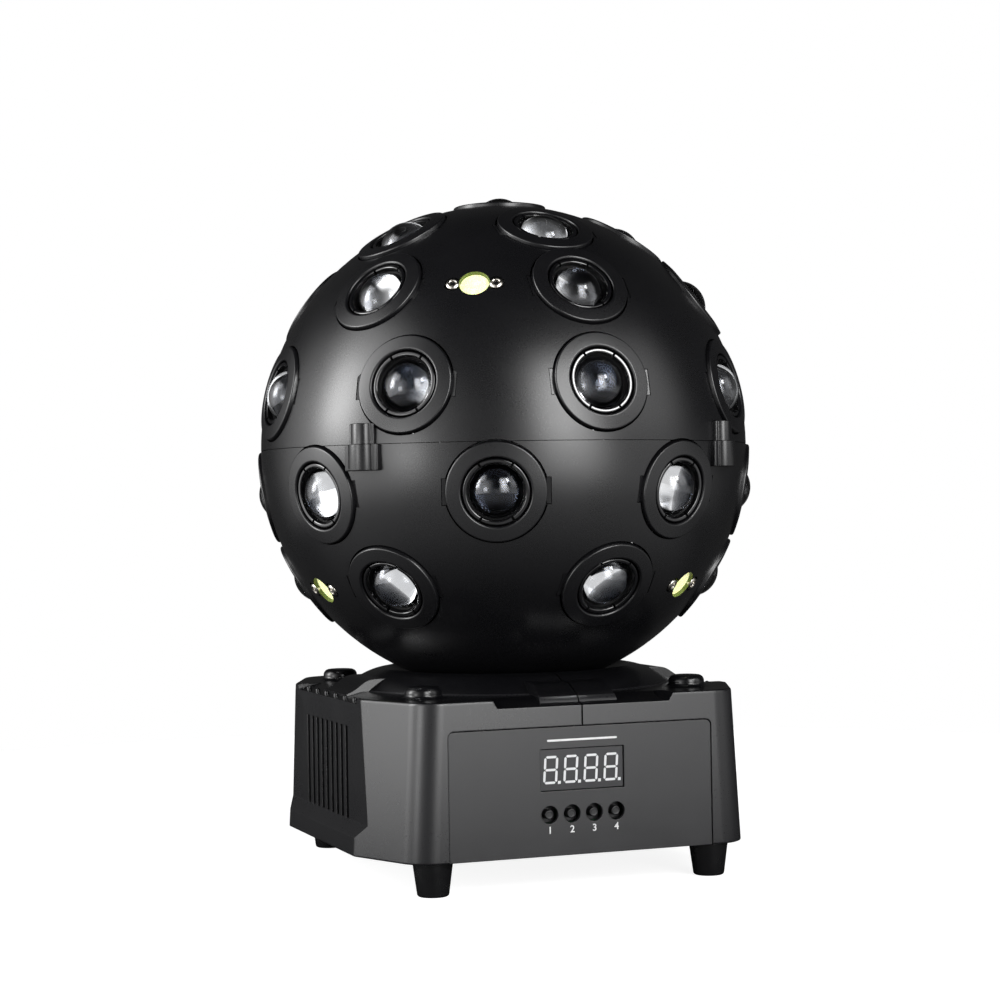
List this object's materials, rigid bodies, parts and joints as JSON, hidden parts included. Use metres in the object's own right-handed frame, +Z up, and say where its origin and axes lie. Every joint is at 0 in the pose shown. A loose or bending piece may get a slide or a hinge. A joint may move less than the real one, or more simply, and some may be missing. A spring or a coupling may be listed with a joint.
{
  "type": "magic ball light",
  "caption": "Table-top magic ball light: a black ball studded with small domed lenses turns on a low base with a display, push buttons, side vents and rubber feet.",
  "frame": {"origin": "on the floor, straight under the middle of the ball, at the height of the feet's lower faces", "axes": "+Z up along the ball's turning axis, -Y towards the control panel, +X to the right as seen from the control panel"},
  "size_m": [0.1824, 0.1824, 0.2467],
  "materials": {
    "ball_plastic": "fine-grained black ABS",
    "base_plastic": "satin dark grey ABS",
    "panel_steel": "fine-textured black powder coat",
    "clear_lens": "polished clear acrylic",
    "heat_sink_aluminium": "plain machined",
    "turned_steel": "plain steel",
    "circuit_board": "green solder mask",
    "socket_plastic": "black nylon",
    "belt_rubber": "black moulded rubber",
    "foot_rubber": "black rubber with a slight sheen"
  },
  "bodies": {
    "base": {"cover_left": "base_plastic", "cover_right": "base_plastic", "chassis": "panel_steel", "control_board": "circuit_board", "power_board": "circuit_board", "drive_bracket": "turned_steel", "spindle_bearing": "turned_steel", "drive_belt": "belt_rubber", "pan_motor": "turned_steel", "slip_ring": "socket_plastic", "power_inlet": "socket_plastic", "data_in": "socket_plastic", "data_out": "socket_plastic", "foot_1": "foot_rubber", "foot_2": "foot_rubber", "foot_3": "foot_rubber", "foot_4": "foot_rubber"},
    "ball": {"upper_shell": "ball_plastic", "lower_shell": "ball_plastic", "lamp_core": "heat_sink_aluminium", "spindle": "turned_steel", "lens_a_1": "clear_lens", "lens_a_2": "clear_lens", "lens_a_3": "clear_lens", "lens_a_4": "clear_lens", "lens_a_5": "clear_lens", "lens_a_6": "clear_lens", "lens_a_7": "clear_lens", "lens_a_8": "clear_lens", "lens_b_1": "clear_lens", "lens_b_2": "clear_lens", "lens_b_3": "clear_lens", "lens_b_4": "clear_lens", "lens_b_5": "clear_lens", "lens_b_6": "clear_lens", "lens_c_1": "clear_lens", "lens_c_2": "clear_lens", "lens_c_3": "clear_lens", "lens_c_4": "clear_lens", "lens_c_5": "clear_lens", "lens_top_1": "clear_lens", "lens_d_1": "clear_lens", "lens_d_2": "clear_lens", "lens_d_3": "clear_lens", "lens_d_4": "clear_lens", "lens_d_5": "clear_lens", "lens_d_6": "clear_lens", "lens_d_7": "clear_lens", "lens_d_8": "clear_lens", "lens_e_1": "clear_lens", "lens_e_2": "clear_lens", "lens_e_3": "clear_lens", "lens_e_4": "clear_lens", "lens_e_5": "clear_lens", "lens_e_6": "clear_lens"},
    "motor_rotor": {"motor_pulley": "heat_sink_aluminium"},
    "up_button": {"button_1": "socket_plastic"},
    "down_button": {"button_2": "socket_plastic"},
    "menu_button": {"button_3": "socket_plastic"},
    "enter_button": {"button_4": "socket_plastic"}
  },
  "joints": [
    {"name": "ball_spin", "type": "hinge", "parent": "base", "child": "ball", "pos_m": [0, 0, 0.1535], "axis": [0, 0, 1], "continuous": true},
    {"name": "motor_spin", "type": "hinge", "parent": "base", "child": "motor_rotor", "pos_m": [-0.042, 0, 0.05], "axis": [0, 0, 1], "continuous": true},
    {"name": "button_1_press", "type": "slide", "parent": "base", "child": "up_button", "axis": [0, 1, 0], "range_m": [0, 0.0003], "stiffness_N_per_m": 600},
    {"name": "button_2_press", "type": "slide", "parent": "base", "child": "down_button", "axis": [0, 1, 0], "range_m": [0, 0.0003], "stiffness_N_per_m": 600},
    {"name": "button_3_press", "type": "slide", "parent": "base", "child": "menu_button", "axis": [0, 1, 0], "range_m": [0, 0.0003], "stiffness_N_per_m": 600},
    {"name": "button_4_press", "type": "slide", "parent": "base", "child": "enter_button", "axis": [0, 1, 0], "range_m": [0, 0.0003], "stiffness_N_per_m": 600}
  ],
  "couplings": [
    {"joint": "motor_spin", "follows": "ball_spin", "ratio": 3}
  ]
}
